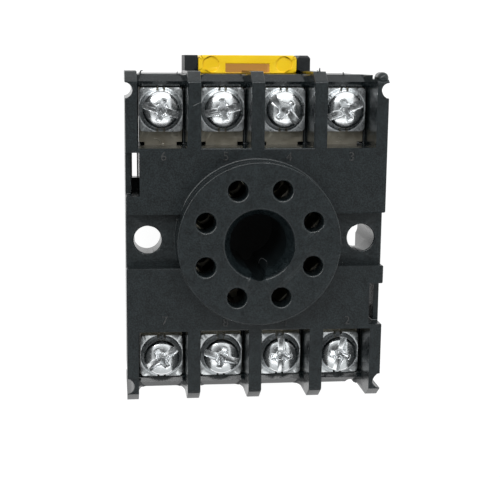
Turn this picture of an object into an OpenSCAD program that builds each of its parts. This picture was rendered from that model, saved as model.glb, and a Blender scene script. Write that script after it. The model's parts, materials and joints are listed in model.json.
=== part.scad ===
// Relay socket for an eight-pin octal plug: screw terminals in two rows, a round plug face,
// two mounting flanges and a sprung slider that latches the back onto a 35 mm rail.
// It lies on its back: +Z points out of the plug face, +Y towards the slider, and the
// origin is on the back plane under the middle of the plug face.

/* [Housing] */
// Width over the side walls
body_w = 39.6; // [39.2:0.1:42]
// Length over the tips of the barriers
body_l = 50.8; // [50.4:0.1:53]
// Height of the block face above the back plane
block_h = 20.4; // [19.4:0.1:22]
// Height of the joint between housing and base cover
split_h = 7.4; // [7.2:0.1:7.8]
// Width of the middle band that the flanges lie in
band_w = 8.2; // [7:0.1:9]
// How far the flanges lie below the block face
band_step = 1.85; // [1:0.05:2.6]
// Thickness of the mounting flanges
flange_t = 4.9; // [4:0.1:6]
// Distance between the two mounting holes
hole_pitch = 33; // [32:0.1:33.4]
// Diameter of the mounting holes
hole_d = 4.25; // [3.8:0.05:4.6]
// Thickness of the side walls
wall_t = 1.5; // [1.2:0.1:1.7]

/* [Plug face] */
// Height of the round plug face above the block face
face_step = 3.6; // [2:0.1:5]
// Diameter of the round plug face
face_d = 24.6; // [23.4:0.1:25.6]
// Diameter of the circle of pin holes
pin_circle_d = 17.45; // [17:0.05:18]
// Diameter of a pin hole
pin_hole_d = 2.9; // [2.6:0.05:3.1]
// Diameter of the key hole
key_d = 8.55; // [8:0.05:9]
// Distance from the middle to the bottom of the key slot
key_reach = 5.5; // [5:0.1:6]
// Diameter of the countersink round the key hole
key_lead_d = 10.7; // [9.6:0.1:11.5]
// Depth of the countersink round the key hole
key_lead_depth = 2; // [0.6:0.1:3]

/* [Terminals] */
// Distance between neighbouring terminals
term_pitch = 9.5; // [9.4:0.05:9.6]
// Thickness of the barriers between terminals
barrier_t = 2; // [1.8:0.1:2.1]
// Height of the strips' top faces in the bays
deck_h = 13.3; // [12.7:0.1:13.8]
// Distance of the screws from the middle line
screw_y = 19.5; // [19.3:0.1:19.7]
// Distance of the bays' inner walls from the middle line
bay_in = 14.05; // [13.6:0.05:14.4]
// Thickness of the terminal strips
strip_t = 0.8; // [0.6:0.05:1]
// Width of the strips' screw tabs
tab_w = 6.7; // [6:0.1:6.8]
// Width of the square clamp plates
plate_w = 6.7; // [6:0.1:6.8]
// Thickness of the clamp plates
plate_t = 1.2; // [0.8:0.1:1.6]
// Depth of the dish in each clamp plate that the screw's head sits in
plate_dish = 0.3; // [0.1:0.05:0.5]

/* [Terminal screws] */
// Diameter of the screw thread
screw_d = 3.5; // [3:0.1:3.6]
// Length of the screw under its head
screw_l = 5.7; // [5:0.1:5.9]
// Diameter of the screw head
head_d = 5.7; // [5.2:0.1:6]
// Height of the straight side of the head
head_side = 1.2; // [0.8:0.1:1.6]
// Height of the dome above the side
head_dome = 1.2; // [1:0.1:1.4]
// Radius of the dome's shoulder, where it turns down into the side
head_round = 0.8; // [0.5:0.1:0.9]
// Width of the driver slot
slot_w = 1.05; // [0.6:0.05:1.2]
// Depth of the driver slot below the top of the dome
slot_depth = 1.25; // [0.6:0.05:1.5]
// Span of the cross recess
cross_span = 3.5; // [2.6:0.1:3.6]

/* [Base cover and rail] */
// Width of the base cover
base_w = 34.8; // [34.7:0.1:35.2]
// Width of the rail that it fits
rail_w = 35; // [34.6:0.1:35.4]
// Thickness of the rail's edges
rail_t = 1; // [0.8:0.1:1.2]
// Depth of the rail groove from the back plane
groove_depth = 3.6; // [3.4:0.1:3.9]
// How far the fixed hook reaches under the rail
hook_reach = 1.4; // [0.8:0.1:2]
// How far the slider's nose reaches under the rail
nose_reach = 1.4; // [0.8:0.1:2]
// Width of the slider
slider_w = 15.9; // [15:0.1:16.2]
// How far slider and lugs stand out past the end of the body
tab_out = 2.4; // [2:0.1:3]
// Travel of the slider
travel = 3; // [2:0.1:3.2]
// Thickness of each lug beside the slider
lug_t = 2.1; // [1.9:0.1:2.6]
// Width of the screwdriver pocket in the slider
pocket_w = 7.06; // [5:0.1:8]
// Depth of the screwdriver pocket
pocket_depth = 3; // [1:0.1:4]

/* [Base screws] */
// Diameter of the two screws that hold the base cover
base_screw_d = 2.3; // [2:0.1:2.5]
// Length of these screws with their heads
base_screw_l = 9; // [7:0.1:9.4]
// Diameter of their countersunk heads
base_head_d = 4.6; // [4:0.1:4.8]
// Height of their countersunk heads
base_head_h = 1.1; // [0.8:0.1:1.4]

/* [Clearances] */
// Gap round pieces that are set into the mouldings
seat_gap = 0.06; // [0.03:0.01:0.1]
// Gap round pieces that slide or turn
run_gap = 0.08; // [0.05:0.01:0.1]

/* [Hidden] */
TERMS = 8;
$fn = 64;
EPS = 0.01;
FAR = 60;

face_h = block_h + face_step;
flange_top = block_h - band_step;
flange_low = flange_top - flange_t;
bay_w = term_pitch - barrier_t;
tip_l = body_l / 2;
rim_l = tip_l - 0.5;             // the floor's outer edge lies behind the barrier tips
rim_in = rim_l - 1.95;           // inner edge of the lip at the mouth of a bay
crest_in = rim_in + 0.85;        // crest of that lip
crest_h = deck_h + 1.2;
crest_fall = 1.3;                // how far the lip falls from its crest to the outer edge
clip_in = 6.9;                   // slots for the feet of a hold-down clip
clip_l = 6.5;
tip_chamfer_y = 1.55;
tip_chamfer_z = 2;
side_t = body_w / 2 - 2 * term_pitch + barrier_t / 2;   // thickness of the outermost walls
knob_r = 0.87;
knob_gap = 1.15;
knob_h = 1.6;
knob_low = block_h - knob_h - knob_r - 0.1;
nick_d = 1.25;
nick_off = 2.35;
strip_low = deck_h - strip_t;
head_seat = deck_h + plate_t - plate_dish;

// Terminals are numbered round the body, from the slider's left-hand end, and
// each pin hole lies at the same corner as its terminal.
function row(n) = n <= 4 ? 1 : -1;
function column(n) = n <= 4 ? n - 2.5 : 6.5 - n;
function side(n) = sign(column(n));
function outer(n) = abs(column(n)) > 1;
function term_x(n) = column(n) * term_pitch;
function term_y(n) = row(n) * screw_y;
function pin_angle(n) = outer(n) ? 22.5 : 67.5;
function pin_x(n) = side(n) * pin_circle_d / 2 * cos(pin_angle(n));
function pin_y(n) = row(n) * pin_circle_d / 2 * sin(pin_angle(n));

// Direction that each driver slot points in, as the screws were left.
SLOT_TURN = [-16, 12, -43, 23, 77, 90, -17, 33];

// Contact of each strip: two leaves that grip the pin.
leaf_t = 0.45;
leaf_w = 2.4;
leaf_h = 6.5;
leaf_gap = 1.9;
leaf_foot = leaf_gap / 2 + 0.55;
foot_w = 2 * leaf_foot + 2 * leaf_t;
neck_w = 2.6;
shoulder_l = 0.4;
shoulder_in = 0.85;
tab_end = rim_in - seat_gap;

// Chambers in the housing round the contacts.
chamber_w = 2 * norm([foot_w, leaf_w] / 2) + 2 * seat_gap + 0.1;
chamber_top = deck_h + leaf_h + 0.5;

// Base cover.
groove_half = rail_w / 2 + 0.25;
web_top = groove_depth + 1.2;
lip_h = groove_depth - rail_t - 0.3;
channel_w = slider_w + 2 * run_gap;
lug_out = channel_w / 2 + lug_t;
lug_clip = 0.45;
waist_w = 27.2;
waist_l = 12;
hollow_l = waist_l - 1.2;        // hollows behind the flanges
post_gap = 0.3;                  // posts stand back from the edges of the screw tabs
post_in = bay_in + 1.6;
well_gap = 0.5;                  // room round and under the ends of the terminal screws
base_screw_x = waist_w / 2 - base_head_d / 2 - 0.4;
base_screw_z = groove_depth + 0.05;
pilot_d = base_screw_d + 0.1;
pilot_depth = base_screw_z + base_screw_l - split_h + 0.75;

// Slider.
slider_low = 0.3;
slider_top = split_h - 0.1;
slider_mid = min(slider_top, head_seat - screw_l) - 0.6;   // clear of the terminal screws
face_in = tip_l - 0.45;
face_corner = 0.75;
pocket_l = 1.4;
mark_d = 2.6;
mark_x = slider_w / 2 - 2.05;
nose_tip = rail_w / 2 - nose_reach;
slider_in = groove_half + 0.15;
slider_out = tip_l + tab_out;
tongue_out = 0.75;
tongue_w = 1;
tongue_low = web_top + 0.3;
tongue_in = slider_in + 0.6;
tongue_l = tip_l - 0.2 - travel - tongue_in;
loop_post_d = 2.4;
loop_w = 5.2;
loop_bar = 0.9;
loop_post_y = slider_in - 1.6;
loop_end = loop_post_y - travel - loop_post_d / 2 - 0.3 - loop_bar;

// A block centred on the Z axis of its children, standing on z.
module block(w, l, h, z = 0) {
    translate([-w / 2, -l / 2, z])
    cube([w, l, h]);
}

// Copies its children at both ends of the body, the second turned half round.
module both_ends() {
    children();
    rotate([0, 0, 180])
    children();
}

// Outline of the key hole: a circle with one rounded slot towards -Y.
module key_outline() {
    tip_r = 1.05;
    mouth = 3.1;
    circle(d = key_d);
    translate([0, -key_reach + tip_r])
    circle(r = tip_r);
    polygon([
        [-mouth / 2, -key_d / 2 + 0.4],
        [-tip_r, -key_reach + tip_r],
        [tip_r, -key_reach + tip_r],
        [mouth / 2, -key_d / 2 + 0.4]
    ]);
}

// The route of a strip from its screw tab to its pin, seen from above, grown by a gap.
module strip_outline(n, gap = 0) {
    dir = row(n);
    shoulder = dir * (bay_in + shoulder_l);
    translate([term_x(n) - tab_w / 2 - gap, min(dir * (tab_end + gap), shoulder - dir * gap)])
    square([tab_w + 2 * gap, tab_end - bay_in - shoulder_l + 2 * gap]);
    w = tab_w / 2 - shoulder_in + gap;
    k = neck_w / 2 + gap;
    slant = term_x(n) - pin_x(n);
    polygon([
        [term_x(n) - w, shoulder + dir],
        [term_x(n) + w, shoulder + dir],
        [term_x(n) + w, dir * (bay_in - 0.6)],
        [pin_x(n) + k, pin_y(n) + dir * 0.4],
        [pin_x(n) + k, pin_y(n)],
        [pin_x(n) - k, pin_y(n)],
        [pin_x(n) - k, pin_y(n) + dir * 0.4],
        [term_x(n) - w, dir * (bay_in - 0.6)]
    ]);
}

// Turns its children to the slant at which a contact stands in its chamber.
module at_pin(n) {
    translate([pin_x(n), pin_y(n), 0])
    rotate([0, 0, -45 * side(n)])
    children();
}

// The floor of a bay: its lip at the mouth and the fillets that join the lip to the walls.
module bay_fillet() {
    fillet_w = 1.3;
    fillet_h = 4.2;
    steps = 6;
    arc = [for (i = [0 : steps]) let (a = 90 * i / steps)
        [fillet_w * (1 - sin(a)), fillet_h * (1 - cos(a))]];
    rotate([90, 0, 0])
    linear_extrude(rim_l - rim_in - 0.3)
    polygon(concat([[-EPS, -EPS]], arc));
}

module bay_cut(x) {
    difference() {
        translate([x, 0, 0])
        translate([-bay_w / 2, bay_in, deck_h - 0.1])
        cube([bay_w, FAR, FAR]);
        translate([x, 0, deck_h - 0.1])
        for (s = [-1, 1])
            translate([s * bay_w / 2, rim_l, 0])
            mirror([s > 0 ? 1 : 0, 0, 0])
            bay_fillet();
        // the lip, sloping down to the outer edge and a little to the plate
        rotate([90, 0, 90])
        translate([0, 0, x - bay_w])
        linear_extrude(2 * bay_w)
        polygon([
            [rim_in, deck_h - 1],
            [rim_in, crest_h - 0.4 * crest_fall],
            [crest_in, crest_h],
            [rim_l + EPS, crest_h - crest_fall],
            [rim_l + EPS, deck_h - 1]
        ]);
    }
    // outside the lip the mouth is open down to the slope
    translate([x - bay_w / 2, rim_l, deck_h - 1.2])
    cube([bay_w, FAR, FAR]);
}

// Hollows of one end: four bays, the slope of the barrier tips and a hollow for the rim.
module end_cuts() {
    for (i = [-1.5 : 1.5])
        bay_cut(i * term_pitch);
    // tips of barriers and side walls
    rotate([90, 0, 90])
    translate([0, 0, -FAR / 2])
    linear_extrude(FAR)
    polygon([
        [tip_l - tip_chamfer_y, block_h + EPS],
        [tip_l + EPS, block_h - tip_chamfer_z],
        [tip_l + EPS, block_h + EPS]
    ]);
    // below the bays the end wall lies back to the rim
    for (i = [-1.5 : 1.5])
        translate([i * term_pitch - bay_w / 2, rim_l, 0])
        cube([bay_w, FAR, deck_h]);
    // corner notches
    for (s = [-1, 1])
        translate([s * (body_w / 2 + 0.05), tip_l - 2.8, 0])
        cylinder(r = 1.15, h = FAR);
    // slot for the foot of a hold-down clip, with its outer wall lowered
    translate([-body_w / 2 + 0.85, clip_in, 0])
    cube([1.25, clip_l, FAR]);
    translate([-body_w / 2 - EPS, clip_in, block_h - 2.4])
    cube([1, clip_l, FAR]);
}

// Hollows behind the flanges, with a mounting hole through each.
module flange_cuts() {
    for (s = [-1, 1]) {
        translate([s * hole_pitch / 2, 0, 0])
        cylinder(d = hole_d, h = FAR);
        translate([s > 0 ? waist_w / 2 + 0.3 : -body_w / 2 + wall_t, -hollow_l / 2, 0])
        cube([body_w / 2 - wall_t - waist_w / 2 - 0.3, hollow_l, flange_low]);
    }
}

// Hollow for one strip and its contact, open to the back.
module strip_pocket(n) {
    translate([0, 0, split_h - EPS])
    linear_extrude(deck_h - split_h + EPS)
    strip_outline(n, seat_gap);
    // the window in the bay's floor, which stays open beside the strip's neck
    translate([term_x(n), row(n) * (bay_in + tab_end) / 2, split_h - EPS])
    block(tab_w + 2 * seat_gap, tab_end - bay_in, deck_h - split_h + EPS);
    translate([pin_x(n), pin_y(n), deck_h - EPS])
    cylinder(d = chamber_w, h = chamber_top - deck_h);
    translate([pin_x(n), pin_y(n), split_h - EPS])
    cylinder(d = chamber_w, h = deck_h - split_h + EPS);
    translate([pin_x(n), pin_y(n), deck_h])
    cylinder(d = pin_hole_d, h = FAR);
    translate([pin_x(n), pin_y(n), face_h - 0.2])
    cylinder(d1 = pin_hole_d, d2 = pin_hole_d + 0.5, h = 0.2 + EPS);
}

// The one corner whose tip is a round knob that overhangs the wall below it.
module knob(r) {
    translate([body_w / 2 - r, tip_l - r - 0.05, knob_low])
    cylinder(r = r, h = knob_h);
    translate([body_w / 2 - r, tip_l - r - 0.05, knob_low + knob_h])
    sphere(r = r);
}

module housing() {
    color([0.14, 0.16, 0.16])
    difference() {
        union() {
            difference() {
                block(body_w, body_l, block_h - split_h, split_h);
                block(FAR, band_w, FAR, flange_top);
                both_ends()
                end_cuts();
                // the wall stops short under the knob
                translate([body_w / 2 - side_t - EPS, tip_l - knob_gap, split_h - EPS])
                cube([FAR, FAR, FAR]);
                // half-round nick in the outer edge of one bay's floor
                translate([1.5 * term_pitch + nick_off, -rim_l - 0.05, split_h - EPS])
                cylinder(d = nick_d, h = FAR);
            }
            knob(knob_r);
            translate([0, 0, split_h])
            cylinder(d = face_d, h = face_h - split_h, $fn = 128);
        }
        flange_cuts();
        for (n = [1 : TERMS])
            strip_pocket(n);
        translate([0, 0, split_h - EPS])
        linear_extrude(FAR)
        key_outline();
        translate([0, 0, face_h - key_lead_depth])
        cylinder(d1 = key_d, d2 = key_lead_d, h = key_lead_depth + EPS);
        for (s = [-1, 1])
            translate([s * base_screw_x, 0, split_h - EPS])
            cylinder(d = pilot_d, h = pilot_depth);
    }
}

// One stamped strip: screw tab, neck and the two leaves that grip a pin.
module contact_leaf() {
    // side view of a leaf: up from the foot, in to the pin and out again at the mouth
    pinch = leaf_gap / 2;
    top = leaf_h;
    rotate([90, 0, 0])
    translate([0, 0, -leaf_w / 2])
    linear_extrude(leaf_w)
    polygon([
        [leaf_foot, 0],
        [pinch, top * 0.7],
        [pinch, top * 0.8],
        [pinch + 0.35, top],
        [pinch + 0.35 + leaf_t, top],
        [pinch + leaf_t, top * 0.8],
        [pinch + leaf_t, top * 0.7],
        [leaf_foot + leaf_t, 0]
    ]);
}

module terminal_strip(n) {
    color([0.72, 0.68, 0.6])
    difference() {
        union() {
            translate([0, 0, strip_low])
            linear_extrude(strip_t) {
                strip_outline(n);
                translate([pin_x(n), pin_y(n)])
                circle(d = foot_w);
            }
            at_pin(n)
            for (s = [0, 180])
                rotate([0, 0, s])
                translate([0, 0, deck_h - EPS])
                contact_leaf();
        }
        translate([term_x(n), term_y(n), 0])
        cylinder(d = screw_d, h = FAR);
        translate([pin_x(n), pin_y(n), 0])
        cylinder(d = pin_hole_d - 0.3, h = deck_h + EPS);
    }
}

// Square plate that a screw presses onto the wires, notched at the middle of two edges.
module clamp_plate(n) {
    corner = 0.7;
    tick_off = 0.53;
    tick_w = 0.28;
    tick_l = 0.5;
    dish_r = plate_w / 2 + 0.04;
    color([0.8, 0.81, 0.82])
    translate([term_x(n), term_y(n), deck_h + EPS])
    difference() {
        linear_extrude(plate_t - 2 * EPS)
        difference() {
            union() {
                square([plate_w, plate_w - 2 * corner], center = true);
                square([plate_w - 2 * corner, plate_w], center = true);
                for (x = [-1, 1], y = [-1, 1])
                    translate([x, y] * (plate_w / 2 - corner))
                    circle(r = corner, $fn = 32);
            }
            for (x = [-tick_off, tick_off], y = [-1, 1])
                translate([x, y * plate_w / 2])
                square([tick_w, 2 * tick_l], center = true);
        }
        translate([0, 0, -EPS])
        cylinder(d = screw_d + 0.3, h = FAR);
        // the dish just cuts the middle of each side
        translate([0, 0, plate_t - plate_dish - 2 * EPS])
        cylinder(r1 = head_d / 2 + run_gap, r2 = dish_r, h = plate_dish + EPS);
        // grooves that bite the wires
        for (y = [-1, 1])
            translate([-plate_w, y * (plate_w / 2 - 1), 0])
            rotate([45, 0, 0])
            translate([0, -0.12, -0.12])
            cube([2 * plate_w, 0.24, 0.24]);
    }
}

// Domed screw with a driver slot and a cross recess.
module terminal_screw(n) {
    // a flat dome that runs smoothly into its shoulder
    flat_r = head_d / 2 - head_round;
    dome_r = (pow(head_dome, 2) + pow(flat_r, 2) - pow(head_round, 2))
        / (2 * (head_dome - head_round));
    head_t = head_side + head_dome;
    turn = asin(flat_r / (dome_r - head_round));
    steps = 6;
    tip_w = 0.6;
    pit_w = 0.62 * cross_span;
    blade_w = 0.9;
    color([0.86, 0.87, 0.88])
    translate([term_x(n), term_y(n), head_seat])
    difference() {
        rotate_extrude($fn = 96)
        polygon(concat(
            [[0, -screw_l], [screw_d / 2 - run_gap - 0.4, -screw_l]],
            [[screw_d / 2 - run_gap, 0.4 - screw_l], [screw_d / 2 - run_gap, 0], [head_d / 2, 0]],
            [for (i = [0 : steps]) let (a = 90 + (turn - 90) * i / steps)
                [flat_r + head_round * sin(a), head_side + head_round * cos(a)]],
            [for (i = [1 : steps]) let (a = turn * (1 - i / steps))
                [dome_r * sin(a), head_t - dome_r + dome_r * cos(a)]]
        ));
        rotate([0, 0, SLOT_TURN[n - 1]]) {
            translate([-head_d, -slot_w / 2, head_t - slot_depth])
            cube([2 * head_d, slot_w, FAR]);
            // cross recess: two crossed blades and a pit, tapering to the middle
            translate([0, 0, head_t - cross_span / 2 - 0.1])
            cylinder(d1 = tip_w, d2 = pit_w, h = cross_span / 2 + 0.11);
            intersection() {
                translate([0, 0, head_t - cross_span / 2 - 0.1])
                cylinder(d1 = tip_w, d2 = cross_span + 1, h = cross_span / 2 + 0.5);
                union()
                for (a = [0, 90])
                    rotate([0, 0, a])
                    translate([-cross_span / 2, -blade_w / 2, 0])
                    cube([cross_span, blade_w, FAR]);
            }
        }
    }
}

// Screw that holds the base cover, its countersunk head flush with the rail groove.
module base_screw(s) {
    cross_l = 0.52 * base_head_d;
    cross_w = 0.13 * base_head_d;
    color([0.7, 0.72, 0.74])
    translate([s * base_screw_x, 0, base_screw_z])
    difference() {
        union() {
            cylinder(d1 = base_head_d, d2 = base_screw_d, h = base_head_h);
            cylinder(d = base_screw_d, h = base_screw_l);
        }
        translate([0, 0, -EPS])
        for (a = [0, 90])
            rotate([0, 0, a])
            translate([-cross_l / 2, -cross_w / 2, 0])
            cube([cross_l, cross_w, 0.7 * base_head_h]);
    }
}

// Rear moulding: the plate behind the housing, two feet with the rail groove between
// them, the fixed hook, the slider's channel and a post under each screw tab.
module base_cover() {
    color([0.13, 0.14, 0.14])
    difference() {
        union() {
            block(base_w, 2 * rim_l, split_h);
            // lugs beside the slider, one square at its end and one with clipped corners
            linear_extrude(split_h) {
                translate([-lug_out, 0])
                square([lug_t, slider_out]);
                polygon([
                    [channel_w / 2, 0],
                    [lug_out, 0],
                    [lug_out, slider_out - lug_clip],
                    [lug_out - lug_clip, slider_out],
                    [channel_w / 2 + lug_clip, slider_out],
                    [channel_w / 2, slider_out - lug_clip]
                ]);
            }
            for (n = [1 : TERMS])
                translate([term_x(n), row(n) * (post_in + tab_end) / 2, split_h - EPS])
                block(tab_w - 2 * post_gap, tab_end - post_in, strip_low - split_h + EPS);
            for (n = [1 : TERMS])
                translate([pin_x(n), pin_y(n), split_h - EPS])
                cylinder(d = foot_w - 0.4, h = strip_low - split_h + EPS);
        }
        // waist, clear of the mounting holes
        for (s = [-1, 1])
            translate([s > 0 ? waist_w / 2 : -FAR, -waist_l / 2, -EPS])
            cube([FAR - waist_w / 2, waist_l, FAR]);
        // rail groove, and its undercut behind the fixed hook
        translate([-FAR / 2, -groove_half + hook_reach + 0.25, -EPS])
        cube([FAR, 2 * groove_half - hook_reach - 0.25, groove_depth + EPS]);
        translate([-FAR / 2, -groove_half, lip_h])
        cube([FAR, groove_half, groove_depth - lip_h]);
        // channel of the slider, right through, wider at the front for its tongues
        translate([-channel_w / 2, groove_half, -EPS])
        cube([channel_w, FAR, FAR]);
        translate([-channel_w / 2 - tongue_out, groove_half, tongue_low - run_gap])
        cube([channel_w + 2 * tongue_out, tip_l - groove_half, FAR]);
        // pocket of the spring loop
        translate([-loop_w / 2 - 0.3, loop_end - 0.3, web_top])
        cube([loop_w + 0.6, groove_half - loop_end + 0.4, FAR]);
        // wells for the ends of the terminal screws
        for (n = [1 : TERMS])
            translate([term_x(n), term_y(n), head_seat - screw_l - well_gap])
            cylinder(d = screw_d + 2 * well_gap, h = FAR);
        // base screws
        for (s = [-1, 1])
            translate([s * base_screw_x, 0, groove_depth - EPS]) {
                cylinder(d = base_screw_d + 0.3, h = FAR);
                cylinder(d1 = base_head_d + 0.2, d2 = base_screw_d + 0.3, h = base_head_h);
            }
    }
    // post that the spring loop bears on
    color([0.13, 0.14, 0.14])
    translate([0, loop_post_y, web_top - EPS])
    cylinder(d = loop_post_d, h = split_h - web_top - 0.1);
}

// Outline of the slider's tab from y_in to its end, its four corners round.
module tab_outline(y_in) {
    translate([-slider_w / 2 + face_corner, y_in])
    square([slider_w - 2 * face_corner, slider_out - y_in]);
    translate([-slider_w / 2, y_in + face_corner])
    square([slider_w, slider_out - y_in - 2 * face_corner]);
    for (s = [-1, 1], y = [y_in + face_corner, slider_out - face_corner])
        translate([s * (slider_w / 2 - face_corner), y])
        circle(r = face_corner, $fn = 32);
}

// Latch of the rail: pull tab, nose and spring loop in one yellow moulding.
module rail_slider() {
    color([0.98, 0.75, 0.1])
    difference() {
        union() {
            // body, low enough to pass under the terminal screws
            translate([-slider_w / 2, slider_in, slider_low])
            cube([slider_w, slider_out - face_corner - slider_in, slider_mid - slider_low]);
            // front face of the tab, with round corners, and the tab under it
            translate([0, 0, slider_low])
            linear_extrude(slider_mid - slider_low + EPS)
            tab_outline(face_in - 2 * face_corner);
            translate([0, 0, slider_mid])
            linear_extrude(slider_top - slider_mid)
            tab_outline(face_in);
            // nose behind the edge of the rail, with a slope that the rail pushes back
            rotate([90, 0, 90])
            translate([0, 0, -slider_w / 2])
            linear_extrude(slider_w)
            polygon([
                [slider_in + EPS, slider_low],
                [nose_tip + 0.9, slider_low],
                [nose_tip, slider_low + 1.1],
                [nose_tip, lip_h - 0.05],
                [slider_in + EPS, lip_h - 0.05]
            ]);
            // tongues that run on the channel's steps, under the housing
            for (s = [-1, 1])
                translate([s > 0 ? slider_w / 2 - tongue_w : -slider_w / 2 - tongue_out,
                    tongue_in, tongue_low])
                cube([tongue_w + tongue_out, tongue_l, slider_top - tongue_low]);
            // spring loop
            translate([0, 0, web_top + 0.1])
            linear_extrude(slider_mid - web_top - 0.1)
            difference() {
                translate([-loop_w / 2, loop_end])
                square([loop_w, slider_in - loop_end + EPS]);
                translate([-loop_w / 2 + loop_bar, loop_end + loop_bar])
                square([loop_w - 2 * loop_bar, slider_in - loop_end - loop_bar - 0.2]);
            }
        }
        // screwdriver pocket and the two round marks in the front face
        translate([-pocket_w / 2, slider_out - 1.35 - pocket_l, slider_top - pocket_depth])
        cube([pocket_w, pocket_l, FAR]);
        for (s = [-1, 1])
            translate([s * mark_x, slider_out - 1.45, slider_top - 0.2])
            cylinder(d = mark_d, h = 1);
    }
}

housing();
base_cover();
rail_slider();
base_screw(-1);  // base_screw_1
base_screw(1);  // base_screw_2
for (n = [1 : TERMS]) {
    terminal_strip(n);
    clamp_plate(n);
    terminal_screw(n);
}
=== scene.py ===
import json
import math

import bmesh
import bpy
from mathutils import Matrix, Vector
from mathutils.bvhtree import BVHTree
from mathutils.kdtree import KDTree


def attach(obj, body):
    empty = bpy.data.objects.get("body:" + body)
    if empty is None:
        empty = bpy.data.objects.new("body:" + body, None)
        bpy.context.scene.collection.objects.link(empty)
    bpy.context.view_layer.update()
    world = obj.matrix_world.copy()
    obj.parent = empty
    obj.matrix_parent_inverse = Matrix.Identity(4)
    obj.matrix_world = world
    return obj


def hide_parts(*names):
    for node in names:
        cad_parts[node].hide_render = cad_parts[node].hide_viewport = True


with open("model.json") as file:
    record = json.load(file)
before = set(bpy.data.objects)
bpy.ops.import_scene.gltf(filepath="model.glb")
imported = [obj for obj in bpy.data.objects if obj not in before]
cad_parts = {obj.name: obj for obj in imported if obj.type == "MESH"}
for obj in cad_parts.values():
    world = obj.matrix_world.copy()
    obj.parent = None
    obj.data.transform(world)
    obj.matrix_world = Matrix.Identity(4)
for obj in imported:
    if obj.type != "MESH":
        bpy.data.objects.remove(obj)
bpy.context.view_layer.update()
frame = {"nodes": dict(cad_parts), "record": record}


# ---------------------------------------------------------------- housing
# The front moulding: one piece of black glass-filled nylon, with a spark-eroded grain on
# its top faces and smooth, glossy bay walls. The mould leaves every edge slightly round.

MM = 0.001


def add(tree, kind, inputs=None, **settings):
    """A new node with its settings, and its inputs as values or as sockets to link."""
    node = tree.nodes.new(kind)
    for key, value in settings.items():
        setattr(node, key, value)
    for key, value in (inputs or {}).items():
        if isinstance(value, bpy.types.NodeSocket):
            tree.links.new(value, node.inputs[key])
        else:
            node.inputs[key].default_value = value
    return node


def new_material(name):
    """A new material, its node tree and its shader."""
    material = bpy.data.materials.new(name)
    material.use_nodes = True
    tree = material.node_tree
    return material, tree, tree.nodes["Principled BSDF"]


def noise(tree, scale, detail=2.0, rough=0.5):
    """Noise on Object coordinates, its scale in features per metre."""
    place = add(tree, "ShaderNodeTexCoord").outputs["Object"]
    return add(tree, "ShaderNodeTexNoise", {
        "Vector": place, "Scale": scale, "Detail": detail, "Roughness": rough})


def ramp(tree, value, low, high, out_low, out_high):
    """Value stretched from low..high to out_low..out_high."""
    return add(tree, "ShaderNodeMapRange", {
        "Value": value, "From Min": low, "From Max": high,
        "To Min": out_low, "To Max": out_high}).outputs["Result"]


def product(tree, first, *others):
    """Values or sockets multiplied together, one node for each further one."""
    for other in others:
        first = add(tree, "ShaderNodeMath", {0: first, 1: other},
            operation="MULTIPLY").outputs["Value"]
    return first


def mixed(tree, share, first, second, kind="RGBA"):
    """Two colours, or two floats, mixed by a share."""
    return add(tree, "ShaderNodeMix", {"Factor": share, "A": first, "B": second},
        data_type=kind).outputs["Result"]


def roughened(tree, shader, height, distance):
    """The shader's surface raised by a height, whose full range is this distance."""
    bump = add(tree, "ShaderNodeBump", {"Height": height, "Distance": distance})
    tree.links.new(bump.outputs["Normal"], shader.inputs["Normal"])


def moulding(name, dark, pale, grain_rough, smooth_rough, grain_height):
    """Moulded black plastic: grained where it faces forward, smoother on its walls."""
    material, tree, shader = new_material(name)
    cloud = noise(tree, scale=700, detail=2).outputs["Fac"]
    speckle = noise(tree, scale=4400, detail=2, rough=0.8).outputs["Fac"]
    mottle = add(tree, "ShaderNodeMath", {0: ramp(tree, cloud, 0.3, 0.7, 0, 0.3),
        1: ramp(tree, speckle, 0.42, 0.6, 0, 0.7)}, operation="ADD").outputs["Value"]
    tree.links.new(mixed(tree, mottle, dark, pale), shader.inputs["Base Color"])
    normal = add(tree, "ShaderNodeNewGeometry").outputs["True Normal"]
    up = add(tree, "ShaderNodeSeparateXYZ", {"Vector": normal}).outputs["Z"]
    facing = ramp(tree, up, 0.93, 0.985, 0, 1)
    grain = noise(tree, scale=5200, detail=4, rough=0.7).outputs["Fac"]
    uneven = ramp(tree, grain, 0.3, 0.7, grain_rough - 0.07, grain_rough + 0.1)
    tree.links.new(mixed(tree, facing, smooth_rough, uneven, "FLOAT"),
        shader.inputs["Roughness"])
    roughened(tree, shader, product(tree, grain, ramp(tree, facing, 0, 1, 0.2, 1)),
        grain_height)
    shader.inputs["Specular IOR Level"].default_value = 0.44
    return material


def turn_between(edge, other, corner):
    """The angle between two edges that meet at a corner."""
    return (edge.other_vert(corner).co - corner.co).angle(
        other.other_vert(corner).co - corner.co)


def has_room(edge, sharp, width):
    """Whether the faces beside an edge can take a round of this width."""
    for_one, for_two = 1.2, 2.1     # rounds' widths that a face needs, with one or two on it
    level_cosine, share_of_edge = 0.995, 0.9
    length = edge.calc_length()
    for face in edge.link_faces:
        opposite = next(corner for corner in face.verts if corner not in edge.verts)
        meets_sharp = any(other in sharp for other in opposite.link_edges)
        rounds = for_two if meets_sharp else for_one
        if 2 * face.calc_area() / length < rounds * width:
            return False
    for corner in edge.verts:
        for other in corner.link_edges:
            level = any(abs(mine.normal.dot(theirs.normal)) > level_cosine
                for mine in edge.link_faces for theirs in other.link_faces)
            if other in sharp and other is not edge and level:
                needed = width / math.tan(max(0.01, turn_between(edge, other, corner) / 2))
                if needed > share_of_edge * min(length, other.calc_length()):
                    return False
    return True


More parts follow.
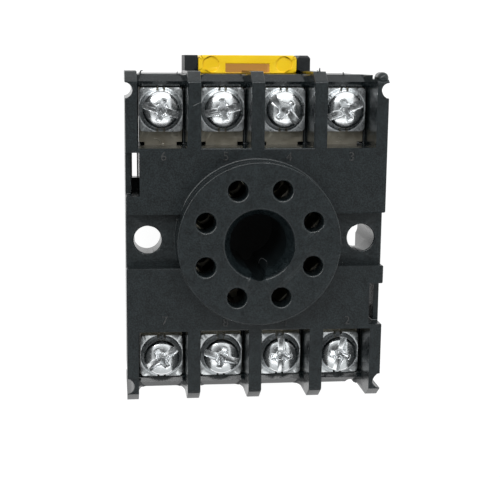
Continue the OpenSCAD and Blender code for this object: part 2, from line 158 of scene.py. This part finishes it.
def misfits(piece, plain, edge):
    """Corners where the rounded mesh leaves the plain one, or folds back on itself."""
    furthest, smallest, folded_cosine = 0.6 * edge, (0.25 * edge) ** 2, -0.1
    finished = piece.evaluated_get(bpy.context.evaluated_depsgraph_get()).to_mesh()
    points = [corner.co.copy() for corner in finished.vertices
        if plain.find_nearest(corner.co)[3] > furthest]
    for face in finished.polygons:
        if face.area > smallest:
            if face.normal.dot(plain.find_nearest(face.center)[1]) < folded_cosine:
                points += [finished.vertices[index].co.copy() for index in face.vertices]
    return points


def softened(node, edge, material, segments=2):
    """A copy of a CAD node, its flat faces divided evenly and its edges rounded.

    Edges without room for the full round get less of it, and corners that would not
    close stay sharp."""
    flat, in_line, sharp_turn, creased = (math.radians(turn) for turn in (0.5, 0.1, 28, 48))
    one_point = 0.001 * MM
    shape = bmesh.new()
    shape.from_mesh(frame["nodes"][node].data)
    bmesh.ops.remove_doubles(shape, verts=shape.verts, dist=one_point)
    bmesh.ops.dissolve_limit(shape, angle_limit=flat, verts=shape.verts, edges=shape.edges)
    bmesh.ops.triangulate(shape, faces=shape.faces)
    bmesh.ops.beautify_fill(shape, faces=shape.faces, method="ANGLE",
        edges=[line for line in shape.edges if line.calc_face_angle(1) < in_line])
    weight = shape.edges.layers.float.new("bevel_weight_edge")
    sharp = {line for line in shape.edges if line.calc_face_angle(0) > sharp_turn}
    for line in sharp:
        line[weight] = next((share for share in (1, 0.6, 0.3)
            if has_room(line, sharp, edge * share)), 0)
    for face in shape.faces:
        face.smooth = True
    mesh = bpy.data.meshes.new(node + "_finished")
    shape.to_mesh(mesh)
    plain = BVHTree.FromBMesh(shape)
    shape.free()
    mesh.materials.append(material)
    piece = bpy.data.objects.new(node + "_finished", mesh)
    bpy.context.scene.collection.objects.link(piece)
    round_edges = piece.modifiers.new("Edges", "BEVEL")
    round_edges.width = edge
    round_edges.segments = segments
    round_edges.limit_method = "WEIGHT"
    round_edges.use_clamp_overlap = False
    corners = KDTree(len(mesh.vertices))
    for corner in mesh.vertices:
        corners.insert(corner.co, corner.index)
    corners.balance()
    rounds_of_clearing, cleared_round = 4, 2.2 * edge
    for _ in range(rounds_of_clearing):
        tight = {found[1] for point in misfits(piece, plain, edge)
            for found in corners.find_range(point, cleared_round)}
        for line in mesh.edges:
            if tight & set(line.vertices):
                mesh.attributes["bevel_weight_edge"].data[line.index].value = 0
        mesh.update()
    piece.data = bpy.data.meshes.new_from_object(
        piece.evaluated_get(bpy.context.evaluated_depsgraph_get()))
    piece.modifiers.clear()
    shape = bmesh.new()
    shape.from_mesh(piece.data)
    for line in shape.edges:
        line.smooth = line.calc_face_angle(0) < creased
    shape.to_mesh(piece.data)
    shape.free()
    even = piece.modifiers.new("Even shading", "WEIGHTED_NORMAL")
    even.keep_sharp = True
    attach(piece, body_of[node])
    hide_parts(node)
    return piece


body_of = {node: body for body, nodes in frame["record"]["behaviour"]["bodies"].items()
    for node in nodes}

black = moulding("Black grained nylon", dark=(0.0002, 0.0012, 0.0018, 1),
    pale=(0.0165, 0.0225, 0.0245, 1), grain_rough=0.36, smooth_rough=0.22,
    grain_height=0.03 * MM)
softened("housing", 0.2 * MM, black)

# The seat of the clip's foot, low in the left clip slot: a stop and two narrow ledges,
# each by its middle and its size in millimetres.
stop = ((-18.35, 7.85, 11), (1.3, 1.95, 2.2))
ledges = (((-17.6, 10.2, 9), (0.5, 6.5, 1.6)), ((-18.8, 10.2, 9), (0.34, 6.5, 1.6)))
seat_mesh = bpy.data.meshes.new("clip_seat")
seat = bmesh.new()
for middle, size in (stop, *ledges):
    made = bmesh.ops.create_cube(seat, size=1)["verts"]
    for corner in made:
        corner.co = Vector([at + wide * out for at, wide, out
            in zip(middle, size, corner.co)]) * MM
seat.to_mesh(seat_mesh)
seat.free()
seat_mesh.materials.append(black)
clip_seat = bpy.data.objects.new("clip_seat", seat_mesh)
bpy.context.scene.collection.objects.link(clip_seat)
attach(clip_seat, "body")


def join_pieces(name, pieces):
    """One object out of several, at the origin; it carries the first one's material on every
    face.
    """
    merged = bmesh.new()
    for piece in pieces:
        piece.data.transform(piece.matrix_basis)
        merged.from_mesh(piece.data)
    mesh = bpy.data.meshes.new(name)
    merged.to_mesh(mesh)
    merged.free()
    mesh.materials.append(pieces[0].data.materials[0])
    for piece in pieces:
        bpy.data.objects.remove(piece)
    for face in mesh.polygons:
        face.material_index = 0
    whole = bpy.data.objects.new(name, mesh)
    bpy.context.scene.collection.objects.link(whole)
    return whole


def new_group(name, sockets):
    """An empty geometry tree with its inputs named, its input and output nodes made."""
    group = bpy.data.node_groups.new(name, "GeometryNodeTree")
    group.interface.new_socket("Geometry", in_out="OUTPUT", socket_type="NodeSocketGeometry")
    for label, kind in sockets:
        group.interface.new_socket(label, in_out="INPUT", socket_type="NodeSocket" + kind)
    return (group, group.nodes.new("NodeGroupInput").outputs,
        group.nodes.new("NodeGroupOutput").inputs["Geometry"])


def finish_tree(group, geometry, material, made):
    """Ends a tree: its instances made real, its material set, its output linked."""
    real = add(group, "GeometryNodeRealizeInstances", {"Geometry": geometry})
    dressed = add(group, "GeometryNodeSetMaterial", {
        "Geometry": real.outputs["Geometry"], "Material": material})
    group.links.new(dressed.outputs["Geometry"], made)


def grown(name, group, values):
    """The mesh that a geometry tree makes from its named inputs, as an object."""
    piece = bpy.data.objects.new(name, bpy.data.meshes.new(name))
    bpy.context.scene.collection.objects.link(piece)
    maker = piece.modifiers.new("Maker", "NODES")
    maker.node_group = group
    for socket in group.interface.items_tree:
        if socket.in_out == "INPUT":
            maker[socket.identifier] = values[socket.name]
    made = bpy.data.meshes.new_from_object(
        piece.evaluated_get(bpy.context.evaluated_depsgraph_get()))
    piece.modifiers.clear()
    piece.data = made
    return piece


# The terminal numbers stand a little proud of the block face, beside their bays.
group, given, made = new_group("Moulded number", [("Number", "String"), ("Height", "Float"),
    ("Depth", "Float"), ("Place", "Vector"), ("Material", "Material")])
letters = add(group, "GeometryNodeStringToCurves", {"String": given["Number"],
    "Size": given["Height"]}, align_x="CENTER", align_y="MIDDLE").outputs["Curve Instances"]
letters = add(group, "GeometryNodeRealizeInstances", {"Geometry": letters})
faces = add(group, "GeometryNodeFillCurve", {"Curve": letters.outputs["Geometry"]})
raised = add(group, "GeometryNodeExtrudeMesh", {"Mesh": faces.outputs["Mesh"],
    "Offset": add(group, "ShaderNodeCombineXYZ", {"Z": given["Depth"]}).outputs["Vector"],
    "Offset Scale": 1})
set_down = add(group, "GeometryNodeTransform", {"Geometry": raised.outputs["Mesh"],
    "Translation": given["Place"]})
finish_tree(group, set_down.outputs["Geometry"], given["Material"], made)

# The numbers are painted paler than the block: a painted highlight for the light their small
# edges catch.
numbers_painted_highlight = moulding("Nylon with painted highlight", dark=(0.012, 0.013, 0.013, 1), pale=(0.06, 0.06, 0.06, 1),
    grain_rough=0.4, smooth_rough=0.3, grain_height=0.01 * MM)
block_top = 20.4 * MM
number_height, number_depth, number_sunk = 1.9 * MM, 0.13 * MM, 0.01 * MM
numbers = [grown(f"Number_{label}", group, {"Number": label, "Height": number_height,
    "Depth": number_depth, "Place": (x * MM, y * MM, block_top - number_sunk),
    "Material": numbers_painted_highlight})
    for label, x, y in (("6", -14.1, 12.8), ("5", -4.8, 12.8), ("4", 4.75, 12.65),
        ("3", 14.3, 12.7), ("7", -14, -12.3), ("8", -4.65, -12.75), ("1", 4.7, -12.8),
        ("2", 14.3, -12.75))]
digits = join_pieces("moulded_numbers", numbers)
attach(digits, "body")

# The plug face runs out into the block face in a small fillet. The block face ends at the
# flanges, and the fillet with it.
foot_radius, foot_fillet, foot_end = 12.3 * MM, 0.28 * MM, 5.7 * MM
arc_steps, bend_steps = 72, 4
shape = bmesh.new()
for side in (1, -1):
    first = math.asin(foot_end / foot_radius)
    rows = []
    for step in range(arc_steps + 1):
        turn = side * (first + (math.pi - 2 * first) * step / arc_steps)
        rows.append([shape.verts.new(((foot_radius + out) * math.cos(turn),
            (foot_radius + out) * math.sin(turn), block_top + height)) for out, height in
            [(foot_fillet * (1 - math.cos(bend)), foot_fillet * (1 - math.sin(bend)))
             for bend in (k * math.pi / (2 * bend_steps) for k in range(bend_steps + 1))]])
    for row, after in zip(rows, rows[1:]):
        for k in range(bend_steps):
            shape.faces.new((row[k], after[k], after[k + 1], row[k + 1]))
bmesh.ops.recalc_face_normals(shape, faces=shape.faces)
for face in shape.faces:
    face.smooth = True
    if face.normal.z < 0:
        face.normal_flip()
fillet_mesh = bpy.data.meshes.new("plug_face_fillet")
shape.to_mesh(fillet_mesh)
shape.free()
fillet_mesh.materials.append(black)
fillet = bpy.data.objects.new("plug_face_fillet", fillet_mesh)
bpy.context.scene.collection.objects.link(fillet)
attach(fillet, "body")

# Hairs of flash that the mould left on a barrier's tip and on the lips of the mouths, then
# a scratch on a barrier, a burr in the key hole and a few pale specks.
group, given, made = new_group("Tapered hair", [("Start", "Vector"), ("Middle", "Vector"),
    ("End", "Vector"), ("Width", "Float"), ("Material", "Material")])
path = add(group, "GeometryNodeCurveQuadraticBezier", {"Resolution": 10,
    "Start": given["Start"], "Middle": given["Middle"], "End": given["End"]})
along = add(group, "GeometryNodeSplineParameter").outputs["Factor"]
taper = add(group, "ShaderNodeMapRange", {"Value": along, "To Min": 1, "To Max": 0.3})
ring = add(group, "GeometryNodeCurvePrimitiveCircle", {"Resolution": 6,
    "Radius": given["Width"]}, mode="RADIUS")
swept = add(group, "GeometryNodeCurveToMesh", {"Curve": path.outputs["Curve"],
    "Profile Curve": ring.outputs["Curve"], "Scale": taper.outputs["Result"],
    "Fill Caps": True})
finish_tree(group, swept.outputs["Mesh"], given["Material"], made)


def hairs(name, material, courses):
    """Hairs of one material as one piece; each course is its start, middle, end, width."""
    whole = join_pieces(name, [grown(f"{name}_{index}", group, {
        "Start": Vector(start) * MM, "Middle": Vector(middle) * MM, "End": Vector(end) * MM,
        "Width": width * MM, "Material": material})
        for index, (start, middle, end, width) in enumerate(courses)])
    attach(whole, "body")


hairs("flash", black, [
    ((9.48, 25.1, 18.6), (9.42, 25.6, 18.55), (9.5, 25.95, 18.5), 0.2),
    ((9.35, 25.15, 18.6), (9.2, 25.45, 18.55), (9.05, 25.6, 18.5), 0.1),
    ((14.3, 24.7, 13.3), (14.33, 24.95, 13.2), (14.2, 25.3, 13.25), 0.17),
    ((-17.27, 24.65, 13.4), (-17.45, 25.45, 13.3), (-16.95, 25.4, 13.3), 0.18),
    ((-11.69, 24.65, 13.35), (-11.74, 24.95, 13.25), (-11.62, 25.25, 13.25), 0.14)])
scuffed = moulding("Scuffed nylon", dark=(0.12, 0.125, 0.125, 1),
    pale=(0.2, 0.205, 0.205, 1), grain_rough=0.5, smooth_rough=0.45, grain_height=0.01 * MM)
hairs("scuffs", scuffed, [
    ((-9.7, 20.3, 20.38), (-9.1, 20.68, 20.44), (-8.45, 20.9, 20.4), 0.05),
    ((2, -3.79, 17.6), (0.9, -2.6, 17.6), (0.75, -4.2, 17.2), 0.04),
    ((-10.36, 23.7, 20.4), (-10.3, 23.78, 20.45), (-10.25, 23.8, 20.4), 0.07),
    ((-0.95, 6.4, 23.95), (-0.9, 6.45, 23.95), (-0.86, 6.5, 23.95), 0.048),
    ((-1.68, 6.44, 23.955), (-1.64, 6.45, 23.955), (-1.6, 6.5, 23.955), 0.044),
    ((13.72, -3.95, 18.54), (13.77, -3.9, 18.57), (13.83, -3.88, 18.54), 0.05),
    ((14.25, -13.2, 20.4), (14.3, -13.1, 20.43), (14.4, -13.1, 20.4), 0.045)])


# ---------------------------------------------------------------- terminal strips
# Stamped brass with a dull nickel plate. Each is a screw tab, a neck and a sprung contact
# in one, slipped into the housing from behind.

def plated(name, colour, tint, rough, scratch_height):
    """Plated metal: clouded colour, fine stamping scratches and uneven polish."""
    material, tree, shader = new_material(name)
    cloud = noise(tree, scale=700, detail=3).outputs["Fac"]
    tree.links.new(mixed(tree, ramp(tree, cloud, 0.35, 0.65, 0, 1), colour, tint),
        shader.inputs["Base Color"])
    shader.inputs["Metallic"].default_value = 1
    fine = noise(tree, scale=2600, detail=4, rough=0.6).outputs["Fac"]
    tree.links.new(ramp(tree, fine, 0.3, 0.7, rough - 0.07, rough + 0.09),
        shader.inputs["Roughness"])
    roughened(tree, shader, fine, scratch_height)
    return material


nickel = plated("Dull nickel", colour=(0.44, 0.395, 0.31, 1), tint=(0.56, 0.52, 0.43, 1),
    rough=0.42, scratch_height=0.01 * MM)
for number in range(1, 9):
    softened(f"terminal_strip_{number}", 0.05 * MM, nickel, segments=1)
bright_nickel = plated("Scratched nickel", colour=(0.75, 0.72, 0.66, 1),
    tint=(0.8, 0.78, 0.72, 1), rough=0.3, scratch_height=0.002 * MM)
hairs("strip_scratches", bright_nickel, [
    ((-15.3, 15.0, 13.34), (-14.5, 15.1, 13.36), (-14.1, 14.2, 13.34), 0.05),
    ((-14.1, 14.2, 13.34), (-13.9, 14.0, 13.36), (-13.7, 14.3, 13.34), 0.04),
    ((13.7, 15.1, 13.34), (14.3, 14.9, 13.36), (14.7, 14.2, 13.34), 0.035),
    ((13.4, 14.5, 13.34), (13.7, 14.4, 13.36), (14.1, 14.5, 13.34), 0.03)])


# ---------------------------------------------------------------- clamp plates and screws
# Square steel plates held captive under domed steel screws, both bright zinc plated. A
# screw is turned home on the strip's tab, and its plate grips the wires.

zinc = plated("Bright zinc", colour=(0.86, 0.87, 0.88, 1), tint=(0.93, 0.94, 0.95, 1),
    rough=0.2, scratch_height=0.0015 * MM)
zinc_plate = plated("Zinc on pressed plate", colour=(0.8, 0.82, 0.83, 1),
    tint=(0.9, 0.92, 0.93, 1), rough=0.3, scratch_height=0.006 * MM)
for number in range(1, 9):
    softened(f"clamp_plate_{number}", 0.08 * MM, zinc_plate)
    softened(f"terminal_screw_{number}", 0.06 * MM, zinc)


# ---------------------------------------------------------------- rail slider
# The latch: yellow acetal, moulded in one with its spring loop. Its pocket has a painted
# shade of orange and a painted glow, standing in for light that soaks into the acetal.

yellow, tree, shader = new_material("Yellow acetal")
deep_yellow, pale_yellow = (0.95, 0.6, 0.008, 1), (1.0, 0.66, 0.01, 1)
# the pocket's painted shade and painted glow
pocket_painted_shade, pocket_painted_glow = (0.5, 0.22, 0.05, 1), (0.21, 0.15, 0.042, 1)
slider_face = 7.3 * MM
pocket_middle = (0, 25.75 * MM, slider_face - 1.9 * MM)
cloud = noise(tree, scale=260, detail=2).outputs["Fac"]
skin = mixed(tree, ramp(tree, cloud, 0.3, 0.7, 0, 1), deep_yellow, pale_yellow)
place = add(tree, "ShaderNodeTexCoord").outputs["Object"]
from_middle = add(tree, "ShaderNodeVectorMath", {0: place, 1: pocket_middle},
    operation="SUBTRACT").outputs["Vector"]
apart = add(tree, "ShaderNodeVectorMath", {0: from_middle}, operation="ABSOLUTE")
apart = add(tree, "ShaderNodeSeparateXYZ", {"Vector": apart.outputs["Vector"]}).outputs
# how far from the pocket's middle its painted shade and painted glow are full, and how far
# they have gone
sunk = product(tree, ramp(tree, apart["X"], 3.6 * MM, 3.7 * MM, 1, 0),
    ramp(tree, apart["Y"], 0.78 * MM, 0.85 * MM, 1, 0),
    ramp(tree, apart["Z"], 1.5 * MM, 1.75 * MM, 1, 0))
tree.links.new(mixed(tree, sunk, skin, pocket_painted_shade), shader.inputs["Base Color"])
shader.inputs["Emission Color"].default_value = pocket_painted_glow
tree.links.new(sunk, shader.inputs["Emission Strength"])
fine = noise(tree, scale=1800, detail=3).outputs["Fac"]
tree.links.new(ramp(tree, fine, 0.3, 0.7, 0.3, 0.42), shader.inputs["Roughness"])
roughened(tree, shader, fine, 0.006 * MM)
softened("rail_slider", 0.15 * MM, yellow)


# ---------------------------------------------------------------- base cover
# The rear moulding, of the same black nylon but smoother. It closes the housing behind the
# strips and the slider, and its two lugs stand either side of the slider.

rear_black = moulding("Black smooth nylon", dark=(0.004, 0.005, 0.006, 1),
    pale=(0.013, 0.015, 0.016, 1), grain_rough=0.42, smooth_rough=0.5,
    grain_height=0.01 * MM)
softened("base_cover", 0.12 * MM, rear_black)


# ---------------------------------------------------------------- base screws
# Two countersunk steel screws, zinc plated like the others. They cut their own thread in
# the housing and hold the base cover to it.

for number in (1, 2):
    softened(f"base_screw_{number}", 0.05 * MM, zinc, segments=1)


# ---------------------------------------------------------------- camera, lights and floor
# The camera stands over the upper left of the socket, tipped a little towards its middle.
# The socket lies on white paper in a white tent that two soft lamps light as well.

camera = bpy.data.objects.new("Camera", bpy.data.cameras.new("Camera"))
camera.data.sensor_width = 36
camera.data.lens = 74.4
camera.data.shift_x = 0.08
camera.data.clip_start = 0.01
camera.data.clip_end = 10
camera.location = (-0.02144, 0.02717, 0.17372)
camera.rotation_mode = "ZXY"
camera.rotation_euler = (-0.172, -0.093, 0.005)
bpy.context.scene.collection.objects.link(camera)
bpy.context.scene.camera = camera


def seen_directly(tree):
    """1 where a surface is seen by the camera, or through a shiny or clear one."""
    path = add(tree, "ShaderNodeLightPath").outputs
    either = add(tree, "ShaderNodeMath", {0: path["Is Camera Ray"],
        1: path["Is Glossy Ray"]}, operation="MAXIMUM").outputs["Value"]
    return add(tree, "ShaderNodeMath", {0: either, 1: path["Is Transmission Ray"]},
        operation="MAXIMUM").outputs["Value"]


reach = 1.5
floor_mesh = bpy.data.meshes.new("Floor")
floor_mesh.from_pydata([(-reach, -reach, 0), (reach, -reach, 0), (reach, reach, 0),
    (-reach, reach, 0)], [], [(0, 1, 2, 3)])
floor = bpy.data.objects.new("Floor", floor_mesh)
floor.location.z = -0.05 * MM
bpy.context.scene.collection.objects.link(floor)
paper, tree, shader = new_material("White paper")
shader.inputs["Base Color"].default_value = (0.9, 0.9, 0.9, 1)
shader.inputs["Roughness"].default_value = 0.8
glow = add(tree, "ShaderNodeEmission", {"Color": (1, 1, 1, 1), "Strength": 1.15})
share_of_glow = 0.8
both = add(tree, "ShaderNodeMixShader", {0: product(tree, seen_directly(tree), share_of_glow),
    1: shader.outputs["BSDF"], 2: glow.outputs["Emission"]})
tree.links.new(both.outputs["Shader"], tree.nodes["Material Output"].inputs["Surface"])
floor_mesh.materials.append(paper)

# A white tent: bright from the horizon up to about 60 degrees, brightest towards the
# slider's end and the right, and open, so dark, above 80 degrees.
world = bpy.data.worlds.new("Tent")
bpy.context.scene.world = world
world.use_nodes = True
tree = world.node_tree
way = add(tree, "ShaderNodeTexCoord").outputs["Generated"]
across, along, up = add(tree, "ShaderNodeSeparateXYZ", {"Vector": way}).outputs
opening = add(tree, "ShaderNodeMapRange", {"Value": up, "From Min": 0.86, "From Max": 0.985,
    "To Min": 1, "To Max": 0.07}, interpolation_type="SMOOTHSTEP").outputs["Result"]
bright_end = ramp(tree, along, -1, 1, 0.55, 1.15)
bright_side = ramp(tree, across, -1, 1, 0.78, 1.2)
tent = product(tree, opening, bright_end, bright_side)
seen = add(tree, "ShaderNodeLightPath").outputs["Is Camera Ray"]
tree.links.new(mixed(tree, seen, tent, 1.0, "FLOAT"),
    tree.nodes["Background"].inputs["Strength"])
tree.nodes["Background"].inputs["Color"].default_value = (0.95, 0.99, 1, 1)


def soft_box(name, heading, height, distance, size, power):
    """An oblong lamp that faces the socket from a heading and a height in degrees."""
    lamp = bpy.data.lights.new(name, "AREA")
    lamp.shape = "RECTANGLE"
    lamp.size, lamp.size_y = size
    lamp.energy = power
    holder = bpy.data.objects.new(name, lamp)
    level = distance * math.cos(math.radians(height))
    holder.location = (level * math.cos(math.radians(heading)),
        level * math.sin(math.radians(heading)), distance * math.sin(math.radians(height)))
    holder.rotation_euler = holder.location.to_track_quat("Z", "Y").to_euler()
    bpy.context.scene.collection.objects.link(holder)


soft_box("Key", heading=113, height=50, distance=0.6, size=(1.1, 0.11), power=2.6)
soft_box("Fill", heading=262, height=58, distance=0.6, size=(0.5, 0.2), power=0.22)

bpy.context.scene.view_settings.view_transform = "Standard"
